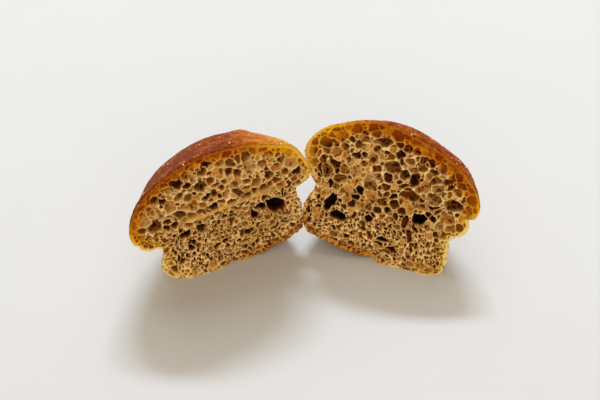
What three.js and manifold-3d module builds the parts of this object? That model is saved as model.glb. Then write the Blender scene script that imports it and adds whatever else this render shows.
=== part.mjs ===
// A split bran roll: the two halves of one small round roll, stood side by side with their
// cut faces to the front. Millimetres, +Z up, +X to the right, +Y to the back. The origin is
// at the middle of the underside of the roll's box.
import * as THREE from 'three';
import { mergeVertices } from 'three/addons/utils/BufferGeometryUtils.js';
import Module from 'manifold-3d';

const wasm = await Module();
wasm.setup();
const { clamp, degToRad, lerp } = THREE.MathUtils;

// The corner where the two cut faces meet: its place on the floor and its height
const MEETING_POINT = new THREE.Vector3(-1.16, -7.04, 0);
const MEETING_HEIGHT = 10.5;

// Air left between the halves where they almost touch
const MEETING_GAP = 0.6;

// Depth of the dome, from the cut face to the back of its widest level, and how full its
// rounding is seen from above: 1 is an ellipse, more is slimmer towards the ends
const DOME_DEPTH = 40;
const PLAN_POWER = 1.4;

// How sharply the underside lifts towards the inner corner
const INNER_LIFT_POWER = 4;

// Low waves of the crust: height, and waves round the dome and from base to crown
const CRUST_WAVE = 0.45;
const WAVES_ROUND = 7;
const WAVES_UP = 5;

// Size of the blocks that cut the roll
const CUTTER_SIZE = 400;

// Facets round the dome and from base to crown, and on one pore
const DOME_FACETS_ROUND = 56;
const DOME_FACETS_UP = 44;
const PORE_FACETS_ROUND = 9;

// Half section of a pore one unit wide and deep: a cap in front of the face, its lip, its wall
// and its floor
const PORE_PROFILE = [
  new THREE.Vector2(0, -0.4),
  new THREE.Vector2(1, 0),
  new THREE.Vector2(0.74, 0.66),
  new THREE.Vector2(0, 1),
];

// Closer to zero than this counts as zero
const TINY = 1e-6;

// Crumb: crust left whole round the face, least wall between pores, pore depth to its width
const CRUST_MARGIN = 3.6;
const PORE_WALL = 0.55;
const PORE_DEPTH_RATIO = 0.62;

// Pores spread by rule: half-widths tried in turn, tries for each, how many are kept, their
// least height to width, and the whole range of their turn in degrees
const SPREAD_RADII = [2.9, 2.3, 1.8, 1.4];
const SPREAD_TRIES = 900;
const SPREAD_COUNT = 78;
const SPREAD_LEAST_SQUASH = 0.75;
const SPREAD_TURN = 50;

// Below this share of the height the crumb is dense, and no pore has a larger half-width
const DENSE_SHARE = 0.36;
const DENSE_RADIUS = 1.75;

// Steps along each side of an outline when it is measured
const OUTLINE_STEPS = 40;

// Multiplier and modulus of the repeatable draws
const DRAW_MULTIPLIER = 16807;
const DRAW_MODULUS = 2147483647;

// Stations of a cut outline, from the middle of the underside up to the apex. Each gives the
// outer side and the inner side as reach away from the meeting corner and height up the face.
const LEFT_STATIONS = [
  { name: 'underside', outer: [33, -0.8], inner: [33, -0.8] },
  { name: 'base', outer: [52, -1], inner: [18, 2.2] },
  { name: 'foot_corner', outer: [66, 0.2], inner: [0.9, 9.9] },
  { name: 'foot_side', outer: [67.5, 8.5], inner: [-0.4, 20] },
  { name: 'notch', outer: [66.3, 17.8], inner: [1.5, 34.5] },
  { name: 'under_rim', outer: [72.6, 19.3], inner: [-1.9, 36.3] },
  { name: 'rim_low', outer: [77.9, 25.3], inner: [-5, 38.9] },
  { name: 'rim', outer: [78.2, 32.5], inner: [-5.8, 43] },
  { name: 'shoulder', outer: [73, 44.7], inner: [-4.1, 48.5] },
  { name: 'dome', outer: [60.1, 55.6], inner: [1.4, 57.3] },
  { name: 'crown', outer: [45.5, 62.5], inner: [12, 61.3] },
  { name: 'top', outer: [34, 64.2], inner: [20, 63.7] },
  { name: 'apex', outer: [27, 64.5], inner: [27, 64.5] },
];
const RIGHT_STATIONS = [
  { name: 'underside', outer: [33, 0.6], inner: [33, 0.6] },
  { name: 'base', outer: [52, -0.8], inner: [17.5, 5.6] },
  { name: 'foot_corner', outer: [66, 0.2], inner: [0.8, 11.9] },
  { name: 'foot_side', outer: [67.7, 9.1], inner: [-1.3, 21.5] },
  { name: 'notch', outer: [67.2, 17.7], inner: [2.7, 34.1] },
  { name: 'under_rim', outer: [70.6, 19.7], inner: [0.4, 37.3] },
  { name: 'rim_low', outer: [74.6, 26.9], inner: [-1.4, 42.3] },
  { name: 'rim', outer: [78, 34.5], inner: [-4.3, 48.5] },
  { name: 'shoulder', outer: [74.8, 43.9], inner: [-2.5, 54.8] },
  { name: 'dome', outer: [61.4, 56.2], inner: [3.2, 60.9] },
  { name: 'crown', outer: [43.5, 63.9], inner: [13, 64.7] },
  { name: 'top', outer: [34.5, 66.9], inner: [20, 67.2] },
  { name: 'apex', outer: [27, 68], inner: [27, 68] },
];

// The largest pores of each face: reach and height of the centre, width, height, and the turn
// to the left in degrees as seen from the front
const LEFT_PORES = [
  [11, 26.5, 7.4, 10.4, 38],
  [18.6, 28.3, 5.4, 4.2, -10],
  [22, 23.5, 3.2, 4.6, 10],
  [54.7, 22.9, 4.6, 4.8, 20],
  [52.6, 16.9, 1.9, 5.6, -15],
  [47, 24.5, 4.7, 5.6, -30],
  [67, 30.8, 8, 6, 22],
  [58.4, 30.5, 3.6, 4, 0],
  [60.9, 42.9, 3.6, 4, 30],
  [42.1, 54.1, 4.5, 4.2, 0],
  [34, 56.7, 4.5, 3.8, 0],
  [15.4, 51.5, 4.7, 4.3, 0],
  [6.6, 50.9, 4.8, 4.4, -20],
  [13.2, 44.5, 4.8, 4.2, 0],
  [25.2, 35.7, 7, 3.2, 14],
  [57.6, 7.5, 6.4, 2.2, 10],
];
const RIGHT_PORES = [
  [10.2, 26.9, 4.6, 9.2, -32],
  [15, 20.3, 7.2, 4.4, -14],
  [9.4, 35.9, 2.8, 5.2, -8],
  [21.6, 30.5, 4.6, 3.4, 0],
  [52, 25.5, 6.4, 5.8, 20],
  [58.4, 26.9, 4, 3.4, 0],
  [57.4, 33.1, 5, 2.9, 0],
  [66.4, 35.1, 9, 5.6, 0],
  [46.4, 35.7, 9.2, 4.6, 10],
  [61.8, 45.1, 4.4, 3.4, 0],
  [36.2, 48.3, 7, 5.4, -8],
  [30, 58.5, 9, 3.8, 0],
  [10, 45.1, 5, 4.7, 0],
  [45.6, 23.1, 3.8, 7.6, 0],
  [29.4, 21.5, 4.6, 3.4, 0],
  [37.4, 13.3, 5, 2.4, 0],
];

const HALVES = [
  {
    name: 'left_half',
    side: -1,
    yawDegrees: 17.5,
    leanDegrees: 13.5,
    crownPower: 4,
    stations: LEFT_STATIONS,
    pores: LEFT_PORES,
    seed: 11,
    color: 0xb98b55,
  },
  {
    name: 'right_half',
    side: 1,
    yawDegrees: 13,
    leanDegrees: 34,
    crownPower: 2.5,
    stations: RIGHT_STATIONS,
    pores: RIGHT_PORES,
    seed: 29,
    color: 0xb4834c,
  },
];

// Repeatable draws between 0 and 1
function seededDraws(seed) {
  let state = seed;
  return () => {
    state = (state * DRAW_MULTIPLIER) % DRAW_MODULUS;
    return state / DRAW_MODULUS;
  };
}

function sideCurve(stations, side) {
  const points = stations.map((station) => new THREE.Vector3(...station[side], 0));
  return new THREE.CatmullRomCurve3(points, false, 'centripetal');
}

// A closed geometry with shared vertices as a solid for joining and cutting
function solidFrom(geometry) {
  geometry.deleteAttribute('normal');
  geometry.deleteAttribute('uv');
  const merged = mergeVertices(geometry);
  return new wasm.Manifold(new wasm.Mesh({
    numProp: 3,
    vertProperties: new Float32Array(merged.attributes.position.array),
    triVerts: new Uint32Array(merged.index.array),
  }));
}

function geometryFrom(solid) {
  const mesh = solid.getMesh();
  const geometry = new THREE.BufferGeometry();
  geometry.setAttribute('position', new THREE.BufferAttribute(mesh.vertProperties, 3));
  geometry.setIndex(new THREE.BufferAttribute(mesh.triVerts, 1));
  geometry.computeVertexNormals();
  return geometry;
}

// The whole leaning roll before it is cut, in the frame of its cut face: X along the face, Y
// square into the crumb and Z up the face. It is a ball whose rings lie level with the floor
// and are ellipses between the outer and the inner side of the outline.
function wholeRollSolid(half) {
  const { side, stations, crownPower } = half;
  const lean = degToRad(half.leanDegrees);
  const outerCurve = sideCurve(stations, 'outer');
  const innerCurve = sideCurve(stations, 'inner');
  const rimIndex = stations.findIndex((station) => station.name === 'rim');
  const rim = stations[rimIndex];
  const rimHalfWidth = (rim.outer[0] - rim.inner[0]) / 2;
  const rimShare = rimIndex / (stations.length - 1);
  const apexHeight = stations.at(-1).outer[1];

  const geometry = new THREE.SphereGeometry(1, DOME_FACETS_ROUND, DOME_FACETS_UP);
  geometry.rotateX(Math.PI / 2);
  const position = geometry.attributes.position;
  const point = new THREE.Vector3();
  for (let i = 0; i < position.count; i += 1) {
    point.fromBufferAttribute(position, i);
    const rise = Math.acos(clamp(-point.z, -1, 1)) / Math.PI;
    const ring = Math.max(Math.hypot(point.x, point.y), TINY);
    const outward = side * point.x / ring;
    const fromPlane = Math.abs(point.y) < TINY ? 0 : Math.abs(point.y) / ring;
    const backward = Math.sign(point.y) * fromPlane ** PLAN_POWER;

    const outer = outerCurve.getPoint(rise);
    const inner = innerCurve.getPoint(rise);
    const halfWidth = (outer.x - inner.x) / 2;
    const lift = ((1 - outward) / 2) ** INNER_LIFT_POWER;
    const height = lerp(outer.y, inner.y, lift);
    const share = clamp(height / apexHeight, 0, 1);
    const waist = rise < rimShare ? halfWidth / rimHalfWidth : 1;
    const ripple = Math.sin(WAVES_ROUND * outward + WAVES_UP * rise) * Math.sin(2 * WAVES_UP * rise);
    const wave = CRUST_WAVE * ripple * Math.sin(Math.PI * rise);
    const depth = DOME_DEPTH * (1 - share ** crownPower) * waist + wave;

    const reach = (outer.x + inner.x) / 2 + halfWidth * outward;
    const back = depth * backward;
    position.setXYZ(i, side * reach, back * Math.cos(lean), height + back * Math.sin(lean));
  }
  return solidFrom(geometry);
}

// Everything in front of the cut face
function frontBlock() {
  const block = new THREE.BoxGeometry(CUTTER_SIZE, CUTTER_SIZE, CUTTER_SIZE);
  block.translate(0, -CUTTER_SIZE / 2, 0);
  return solidFrom(block);
}

// Everything below the floor, which trims the underside to a flat base
function floorBlock(half) {
  const block = new THREE.BoxGeometry(CUTTER_SIZE, CUTTER_SIZE, CUTTER_SIZE);
  block.translate(0, 0, -CUTTER_SIZE / 2);
  block.rotateX(degToRad(half.leanDegrees));
  return solidFrom(block);
}

// Distance from a point of the face in to the nearest edge, negative outside the outline
function insetFromOutline(outline, reach, height) {
  let nearest = Infinity;
  let inside = false;
  outline.forEach((a, i) => {
    const b = outline[(i + 1) % outline.length];
    const dot = (reach - a.x) * (b.x - a.x) + (height - a.y) * (b.y - a.y);
    const along = dot / a.distanceToSquared(b);
    const foot = a.clone().lerp(b, clamp(along, 0, 1));
    nearest = Math.min(nearest, Math.hypot(reach - foot.x, height - foot.y));
    const crosses = (a.y > height) !== (b.y > height);
    if (crosses && reach < a.x + (b.x - a.x) * (height - a.y) / (b.y - a.y)) {
      inside = !inside;
    }
  });
  return inside ? nearest : -nearest;
}

// The measured pores, then smaller ones spread between them wherever there is room
function layPores(half) {
  const outerSide = sideCurve(half.stations, 'outer').getPoints(OUTLINE_STEPS);
  const innerSide = sideCurve(half.stations, 'inner').getPoints(OUTLINE_STEPS);
  const outline = [...outerSide, ...innerSide.slice(1, -1).reverse()];
  const reaches = outline.map((p) => p.x);
  const nearest = Math.min(...reaches);
  const farthest = Math.max(...reaches);
  const top = Math.max(...outline.map((p) => p.y));
  const pores = half.pores.map(([reach, height, width, tall, turn]) => ({
    reach, height, width, tall, turn, radius: Math.max(width, tall) / 2,
  }));
  const full = pores.length + SPREAD_COUNT;
  const draw = seededDraws(half.seed);
  for (const radius of SPREAD_RADII) {
    for (let i = 0; i < SPREAD_TRIES && pores.length < full; i += 1) {
      const reach = lerp(nearest, farthest, draw());
      const height = top * draw();
      const squash = lerp(SPREAD_LEAST_SQUASH, 1, draw());
      const turn = SPREAD_TURN * (draw() - 0.5);
      const tooWide = height < DENSE_SHARE * top && radius > DENSE_RADIUS;
      const tooNear = pores.some((p) => {
        return Math.hypot(p.reach - reach, p.height - height) < p.radius + radius + PORE_WALL;
      });
      const inset = insetFromOutline(outline, reach, height);
      if (!tooWide && !tooNear && inset > radius + CRUST_MARGIN) {
        pores.push({ reach, height, width: 2 * radius, tall: 2 * radius * squash, turn, radius });
      }
    }
  }
  return pores;
}

// One pore: a round bowl sunk into the face, closed by a low cone in front of it
function poreSolid(half, pore) {
  const bowl = new THREE.LatheGeometry(PORE_PROFILE, PORE_FACETS_ROUND);
  bowl.scale(pore.width / 2, PORE_DEPTH_RATIO * Math.min(pore.width, pore.tall), pore.tall / 2);
  bowl.rotateY(-degToRad(pore.turn));
  bowl.translate(half.side * pore.reach, 0, pore.height);
  return solidFrom(bowl);
}

// A half stands on the floor, leaning back and turned a little towards the other half
function placeHalf(half) {
  let solid = wholeRollSolid(half).subtract(frontBlock()).subtract(floorBlock(half));
  for (const pore of layPores(half)) {
    solid = solid.subtract(poreSolid(half, pore));
  }
  const material = new THREE.MeshStandardMaterial({ color: half.color, roughness: 0.85, metalness: 0 });
  const mesh = new THREE.Mesh(geometryFrom(solid), material);
  mesh.name = half.name;
  const lean = degToRad(half.leanDegrees);
  mesh.rotation.x = -lean;
  mesh.position.y = -MEETING_HEIGHT * Math.tan(lean);
  const place = new THREE.Group();
  place.position.copy(MEETING_POINT);
  place.position.x += half.side * MEETING_GAP / 2;
  place.rotation.z = -half.side * degToRad(half.yawDegrees);
  place.add(mesh);
  return place;
}

const roll = new THREE.Group();
for (const half of HALVES) {
  roll.add(placeHalf(half));
}

export default roll;
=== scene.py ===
# %% [markdown]
# # A split bran roll
# A small round roll has been cut down the middle, and its two halves stand side by side with
# their cut faces to the front. What the eye reads is the crumb: large rounded cells with thin
# bright walls above, a fine dense crumb below, and a ring of amber crust round them. So most of
# this lesson is about carving a believable crumb into a mesh, and then colouring it by depth.

# %% Frame
import math

import bmesh
import bpy
import numpy as np
from mathutils import Matrix, Vector, noise


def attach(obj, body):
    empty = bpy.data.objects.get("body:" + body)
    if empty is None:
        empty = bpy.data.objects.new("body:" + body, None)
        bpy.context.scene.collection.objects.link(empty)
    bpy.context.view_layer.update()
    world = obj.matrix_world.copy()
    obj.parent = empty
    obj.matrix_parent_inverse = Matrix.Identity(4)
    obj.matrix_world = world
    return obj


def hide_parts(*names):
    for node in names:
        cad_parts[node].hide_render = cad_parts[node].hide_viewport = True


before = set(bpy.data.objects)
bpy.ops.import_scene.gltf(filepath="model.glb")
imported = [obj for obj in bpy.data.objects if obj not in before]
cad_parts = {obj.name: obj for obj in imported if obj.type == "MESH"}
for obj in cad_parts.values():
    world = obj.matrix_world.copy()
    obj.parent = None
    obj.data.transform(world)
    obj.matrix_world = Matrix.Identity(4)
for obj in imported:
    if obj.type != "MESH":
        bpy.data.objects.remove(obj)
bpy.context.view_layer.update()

MM = 0.001
NOISE_SEED = 5
noise.seed_set(NOISE_SEED)
print("nodes to dress:", sorted(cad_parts))

# %% [markdown]
# ## Sizes of the two halves
# The two cut faces are near mirror copies of each other. Each is described in its own plane: reach
# away from the corner where the halves meet, and height up the leaning face, in millimetres. The
# outline could be one closed curve, but two sides, listed from the middle of the underside up to
# the apex, let the next step read off how wide the roll is at every height.

# %% Sizes
MEETING_POINT = (-1.16, -7.04, 0.0)
MEETING_HEIGHT = 10.5
MEETING_GAP = 0.6
CURVE_STEPS = 600
OUTLINE_STEP = 4

LEFT = {
    "name": "left_half", "side": -1, "yaw": 17.5, "lean": 13.5, "crown_power": 4.0, "seed": 11,
    "outer": [(33, -0.8), (52, -1), (66, 0.2), (67.5, 8.5), (66.3, 17.8), (72.6, 19.3), (77.9, 25.3),
              (78.2, 32.5), (73, 44.7), (60.1, 55.6), (45.5, 62.5), (34, 64.2), (27, 64.5)],
    "inner": [(33, -0.8), (18, 2.2), (0.9, 9.9), (-0.4, 20), (1.5, 34.5), (-1.9, 36.3), (-5, 38.9),
              (-5.8, 43), (-4.1, 48.5), (1.4, 57.3), (12, 61.3), (20, 63.7), (27, 64.5)],
}
RIGHT = {
    "name": "right_half", "side": 1, "yaw": 13.0, "lean": 34.0, "crown_power": 2.5, "seed": 29,
    "outer": [(33, 0.6), (52, -0.8), (66, 0.2), (67.7, 9.1), (67.2, 17.7), (70.6, 19.7), (74.6, 26.9),
              (78, 34.5), (74.8, 43.9), (61.4, 56.2), (43.5, 63.9), (34.5, 66.9), (27, 68)],
    "inner": [(33, 0.6), (17.5, 5.6), (0.8, 11.9), (-1.3, 21.5), (2.7, 34.1), (0.4, 37.3), (-1.4, 42.3),
              (-4.3, 48.5), (-2.5, 54.8), (3.2, 60.9), (13, 64.7), (20, 67.2), (27, 68)],
}


def root_gap(a, b):
    """The square root of the distance from each point of one list to that of the other."""
    return np.linalg.norm(b - a, axis=1)[:, None] ** 0.5


def side_curve(points):
    """A centripetal Catmull-Rom curve through the points, sampled evenly from the first to the last."""
    pts = np.array(points, float)
    pts = np.vstack([2 * pts[0] - pts[1], pts, 2 * pts[-1] - pts[-2]])
    place = np.linspace(0, 1, CURVE_STEPS) * (len(points) - 1)
    i = np.minimum(place.astype(int), len(points) - 2)
    w = (place - i)[:, None]
    p0, p1, p2, p3 = pts[i], pts[i + 1], pts[i + 2], pts[i + 3]
    d0, d1, d2 = root_gap(p0, p1), root_gap(p1, p2), root_gap(p2, p3)
    t1 = ((p1 - p0) / d0 - (p2 - p0) / (d0 + d1) + (p2 - p1) / d1) * d1
    t2 = ((p2 - p1) / d1 - (p3 - p1) / (d1 + d2) + (p3 - p2) / d2) * d1
    return p1 + t1 * w + (3 * (p2 - p1) - 2 * t1 - t2) * w ** 2 + (2 * (p1 - p2) + t1 + t2) * w ** 3


for half in (LEFT, RIGHT):
    half["outer_curve"] = side_curve(half["outer"])
    half["inner_curve"] = side_curve(half["inner"])
    around = np.vstack([half["outer_curve"][::OUTLINE_STEP], half["inner_curve"][-2:0:-OUTLINE_STEP]])
    half["outline"] = around * (half["side"], 1)
    print(half["name"], "face is", np.round(np.ptp(half["outline"], axis=0), 1), "mm")

# %% [markdown]
# ## A whole roll from a ball
# Before it was split, this was one round roll with an overhanging dome. A lathe would make it too
# regular, so a ball is remapped instead. A ball has level rings, and every ring is moved to lie
# between the outer and the inner side of the outline, and bulges back into the dome. The skin
# stays in one piece, whatever the outline does.

# %% Roll
NEAR_ZERO = 1e-6
DOME_DEPTH = 40.0
PLAN_POWER = 1.4
INNER_LIFT_POWER = 4
RIM_STATION = 7


def roll_points(half, ball):
    """Where the points of a unit ball go on the whole roll, in the frame of the cut face, in mm."""
    rise = np.arccos(np.clip(-ball[:, 2], -1, 1)) / math.pi
    ring = np.maximum(np.hypot(ball[:, 0], ball[:, 1]), NEAR_ZERO)
    outward = half["side"] * ball[:, 0] / ring
    backward = np.sign(ball[:, 1]) * np.abs(ball[:, 1] / ring) ** PLAN_POWER
    table = np.linspace(0, 1, len(half["outer_curve"]))
    outer = np.column_stack([np.interp(rise, table, half["outer_curve"][:, k]) for k in (0, 1)])
    inner = np.column_stack([np.interp(rise, table, half["inner_curve"][:, k]) for k in (0, 1)])
    half_width = (outer[:, 0] - inner[:, 0]) / 2
    lift = ((1 - outward) / 2) ** INNER_LIFT_POWER
    height = outer[:, 1] + (inner[:, 1] - outer[:, 1]) * lift
    share = np.clip(height / half["outer"][-1][1], 0, 1)
    rim_width = (half["outer"][RIM_STATION][0] - half["inner"][RIM_STATION][0]) / 2
    rim_rise = RIM_STATION / (len(half["outer"]) - 1)
    waist = np.where(rise < rim_rise, half_width / rim_width, 1)
    back = DOME_DEPTH * (1 - share ** half["crown_power"]) * waist * backward
    lean = math.radians(half["lean"])
    reach = (outer[:, 0] + inner[:, 0]) / 2 + half_width * outward
    return np.column_stack([half["side"] * reach, back * math.cos(lean), height + back * math.sin(lean)])


print("a whole roll would be", 2 * DOME_DEPTH, "mm deep")

# %% [markdown]
# ## Cutting a half
# A knife split the roll, and it rests on a flat underside. Two planes do the same here. A voxel
# remesh then gives even squares all over: a carved crumb needs them, and the long thin faces of a
# ball would tear. The remesh shaves a little off, so the roll is plumped out by a fraction of a
# millimetre before it is cut.

# %% Body
BALL_SEGMENTS = (160, 128)
VOXEL = 0.57
PLUMP = 0.3


def new_object(name, data):
    """A new object in the scene that shows this data."""
    made = bpy.data.objects.new(name, data)
    bpy.context.collection.objects.link(made)
    return made


def cut_by_plane(bm, outward):
    """Takes away all that lies outside a plane through the origin and closes the cut."""
    everything = bm.verts[:] + bm.edges[:] + bm.faces[:]
    bmesh.ops.bisect_plane(bm, geom=everything, plane_co=(0, 0, 0), plane_no=outward, clear_outer=True)
    bmesh.ops.holes_fill(bm, edges=[e for e in bm.edges if e.is_boundary])


def evened(mesh, size):
    """The mesh remeshed to even squares of that size."""
    carrier = new_object("carrier", mesh)
    remesh = carrier.modifiers.new("even_squares", "REMESH")
    remesh.mode = "VOXEL"
    remesh.voxel_size = size
    shaped = carrier.evaluated_get(bpy.context.evaluated_depsgraph_get())
    result = bpy.data.meshes.new_from_object(shaped)
    bpy.data.objects.remove(carrier)
    bpy.data.meshes.remove(mesh)
    return result


def half_body(half):
    """The closed mesh of a half, in the frame of its cut face."""
    bm = bmesh.new()
    around, up = BALL_SEGMENTS
    bmesh.ops.create_uvsphere(bm, u_segments=around, v_segments=up, radius=1)
    moved = roll_points(half, np.array([v.co for v in bm.verts])) * MM
    for vert, place in zip(bm.verts, moved):
        vert.co = place
    bmesh.ops.recalc_face_normals(bm, faces=bm.faces)
    bm.normal_update()
    for vert in bm.verts:
        vert.co += vert.normal * PLUMP * MM
    lean = math.radians(half["lean"])
    cut_by_plane(bm, (0, -1, 0))
    cut_by_plane(bm, (0, math.sin(lean), -math.cos(lean)))
    bmesh.ops.recalc_face_normals(bm, faces=bm.faces)
    mesh = bpy.data.meshes.new(half["name"] + "_bread")
    bm.to_mesh(mesh)
    bm.free()
    return evened(mesh, VOXEL * MM)


for half in (LEFT, RIGHT):
    half["mesh"] = half_body(half)
    print(half["name"], "body has", len(half["mesh"].polygons), "squares")

# %% [markdown]
# ## A finer cut face
# Only the cut face carries cells a millimetre wide. A finer remesh of the whole half would cost
# far more faces, so only the squares of the cut face are subdivided. It is flat and looks straight
# to the front of its own frame, which makes it easy to pick out by its normal.

# %% Finer face
FACE_CUTS = 1
FACING_FRONT = -0.95
SQUARE_WITHIN = 0.4 * VOXEL
POINT_WITHIN = 0.2 * VOXEL


def refine_face(half):
    """Subdivides the cut face and keeps the mesh's points in mm, with those that lie on the face."""
    bm = bmesh.new()
    bm.from_mesh(half["mesh"])
    bm.normal_update()
    facing = [f for f in bm.faces if f.normal.y < FACING_FRONT]
    front = [f for f in facing if abs(f.calc_center_median().y) < SQUARE_WITHIN * MM]
    edges = list({e for f in front for e in f.edges})
    bmesh.ops.subdivide_edges(bm, edges=edges, cuts=FACE_CUTS, use_grid_fill=True)
    bm.to_mesh(half["mesh"])
    bm.free()
    place = np.empty(len(half["mesh"].vertices) * 3, np.float32)
    half["mesh"].vertices.foreach_get("co", place)
    half["co"] = place.reshape(-1, 3).astype(float) / MM
    half["on_face"] = np.abs(half["co"][:, 1]) < POINT_WITHIN
    print(half["name"], "face has", int(half["on_face"].sum()), "points")


for half in (LEFT, RIGHT):
    refine_face(half)

# %% [markdown]
# ## The holes that catch the eye
# The knife opened some large bubbles, and they give the crumb its face. Scattered at random they
# could be any roll's, so they are listed one by one. Each has its reach and height, its width and
# height across, its turn to the left in degrees, and how dark it is.

# %% Holes
# The last number of each hole is how dark the painted shade in it is.
LEFT["holes"] = [
    (11.1, 26.5, 7.6, 10.6, 38, 1.0), (18.5, 28.3, 5.8, 4.4, -10, 0.9), (21.8, 24.2, 3.4, 4.7, 10, 0.9),
    (54.7, 22.7, 4.6, 4.7, 20, 1.0), (53.0, 17.2, 1.6, 6.2, -15, 0.9), (47.1, 24.3, 4.7, 5.8, -30, 0.55),
    (40.9, 11.4, 3.4, 3.0, 20, 0.8), (36.9, 12.9, 3.4, 2.6, 0, 0.8), (42.0, 40.8, 3.8, 3.3, 10, 0.75),
    (60.9, 43.3, 3.8, 3.6, 30, 0.8), (67.0, 30.8, 8.1, 6.2, 22, 0.5), (58.4, 29.7, 3.8, 4.2, 0, 0.6),
    (42.1, 54.3, 4.8, 4.2, 0, 0.55), (33.9, 57.4, 5.0, 3.7, 10, 0.35), (30.3, 50.8, 3.6, 4.3, 0, 0.6),
    (26.4, 49.6, 3.9, 4.3, 20, 0.55), (15.3, 51.4, 5.0, 4.3, -15, 0.35), (6.6, 51.6, 5.0, 4.3, -20, 0.35),
    (23.3, 44.8, 3.7, 3.3, 0, 0.55), (13.2, 44.6, 4.7, 4.4, 0, 0.5), (25.2, 35.7, 7.4, 3.2, 14, 0.55),
    (20.1, 37.8, 4.0, 3.0, 14, 0.6), (35.7, 36.6, 3.9, 3.4, 0, 0.5), (45.6, 34.5, 4.0, 3.4, 0, 0.45),
    (64.6, 16.0, 3.7, 3.0, 30, 0.55), (57.6, 7.3, 6.6, 2.2, 10, 0.7), (52.4, 13.8, 3.4, 2.2, 40, 0.7),
    (50.2, 42.4, 4.2, 3.2, 20, 0.45), (5.6, 44.6, 4.2, 4.0, 0, 0.4), (37.6, 46.0, 4.4, 3.4, 12, 0.4),
    (32.4, 24.4, 4.3, 3.7, 10, 0.3), (26.9, 19.9, 3.5, 4.1, 0, 0.25), (50.7, 17.0, 2.6, 3.7, 0, 0.75),
    (38.3, 24.7, 1.7, 3.0, 0, 0.6), (15.8, 20.7, 4.0, 3.7, 0, 0.3), (57.1, 12.0, 2.3, 2.5, 0, 0.7),
    (62.2, 9.9, 2.9, 2.1, 15, 0.45), (13.8, 9.3, 2.3, 2.8, 0, 0.45), (24.0, 6.5, 2.3, 2.7, 0, 0.5),
    (17.6, 9.1, 2.0, 2.5, 0, 0.4), (34.9, 18.6, 2.6, 3.0, 0, 0.3), (44.6, 18.0, 2.4, 3.0, 0, 0.3),
    (57.6, 18.7, 1.3, 5.6, -10, 0.6), (59.8, 19.4, 1.5, 5.2, -15, 0.45), (7.4, 33.2, 1.0, 5.2, -5, 0.8),
    (4.7, 36.8, 1.2, 4.5, -20, 0.8), (54.0, 44.6, 4.6, 4.5, 20, 0.35), (38.4, 41.9, 2.9, 5.2, 0, 0.55),
    (33.3, 40.4, 4.0, 4.5, 0, 0.3), (33.6, 47.7, 4.0, 3.7, 10, 0.35), (48.6, 46.5, 3.5, 3.0, 10, 0.4),
]
RIGHT["holes"] = [
    (10.3, 26.6, 5.0, 9.6, -32, 1.0), (14.8, 20.6, 7.5, 4.7, -14, 0.95), (9.5, 35.8, 2.8, 5.3, -8, 0.85),
    (21.5, 30.5, 4.8, 3.4, 10, 0.85), (17.2, 25.9, 3.7, 2.9, 0, 0.6), (29.4, 21.6, 4.8, 3.4, 0, 0.85),
    (52.0, 25.5, 6.4, 5.8, 20, 1.0), (58.2, 27.2, 4.1, 3.2, 20, 0.8), (57.6, 33.0, 4.9, 2.9, 0, 0.8),
    (66.3, 35.1, 9.4, 5.7, 0, 0.42), (46.2, 36.0, 9.5, 4.4, 10, 0.54), (39.1, 34.2, 3.8, 3.3, 30, 0.75),
    (61.8, 45.3, 4.4, 3.3, 0, 0.5), (43.1, 40.4, 4.3, 2.8, 12, 0.55), (34.5, 38.3, 4.3, 3.3, 0, 0.55),
    (36.3, 48.2, 7.4, 5.6, -8, 0.4), (30.1, 58.9, 9.4, 4.0, 6, 0.45), (40.7, 63.1, 4.2, 2.5, -25, 0.45),
    (10.0, 45.1, 5.3, 4.7, 0, 0.7), (19.4, 50.9, 4.8, 3.5, 0, 0.6), (23.2, 47.6, 4.1, 3.3, 0, 0.35),
    (55.3, 48.9, 4.4, 3.3, 0, 0.5), (45.9, 23.4, 4.1, 7.6, 4, 0.6), (37.3, 13.2, 5.1, 2.4, 10, 0.8),
    (20.0, 11.3, 4.7, 2.0, -30, 0.8), (48.9, 16.5, 2.8, 5.9, 0, 0.65), (31.9, 26.9, 4.0, 3.1, 0, 0.65),
    (36.8, 27.9, 3.9, 2.9, -20, 0.65), (21.8, 22.0, 2.2, 4.4, -40, 0.7), (49.4, 50.0, 5.0, 4.2, 0, 0.4),
    (13.6, 53.8, 4.0, 4.2, 0, 0.4), (67.4, 41.6, 3.8, 3.2, 40, 0.4), (19.2, 56.0, 3.9, 3.6, 0, 0.5),
    (9.1, 54.8, 3.4, 3.0, 0, 0.45), (5.6, 50.6, 4.5, 3.6, 20, 0.4), (4.5, 46.2, 3.4, 4.7, 0, 0.4),
    (4.1, 40.7, 2.8, 6.5, 25, 0.6), (29.3, 46.0, 3.9, 3.6, 0, 0.5), (21.7, 62.2, 3.4, 2.4, 0, 0.5),
    (27.3, 62.6, 5.1, 3.0, 0, 0.45), (33.1, 54.3, 3.4, 2.4, 0, 0.55), (42.2, 57.7, 5.1, 3.6, -10, 0.45),
    (46.5, 57.0, 3.4, 3.6, 0, 0.45), (53.8, 53.4, 2.8, 4.2, 0, 0.6), (43.7, 52.1, 3.9, 3.6, 0, 0.4),
    (63.8, 42.9, 3.4, 2.4, 0, 0.5), (60.4, 39.8, 1.7, 4.2, 0, 0.5),
]
HOLE_DEPTH = 0.75
DARK_HOLE_DEPTH = 2.0


def hole_rows(half):
    """The holes as rows of centre, two half-widths, turn, depth and darkness of their painted shade."""
    rows = []
    for reach, height, width, tall, turn, dark in half["holes"]:
        deep = math.sqrt(width * tall) / 2 * (HOLE_DEPTH + DARK_HOLE_DEPTH * dark ** 2)
        rows.append((half["side"] * reach, height, width / 2, tall / 2, math.radians(turn), deep, dark))
    return rows


for half in (LEFT, RIGHT):
    print(half["name"], "has", len(half["holes"]), "holes placed by hand")

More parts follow.
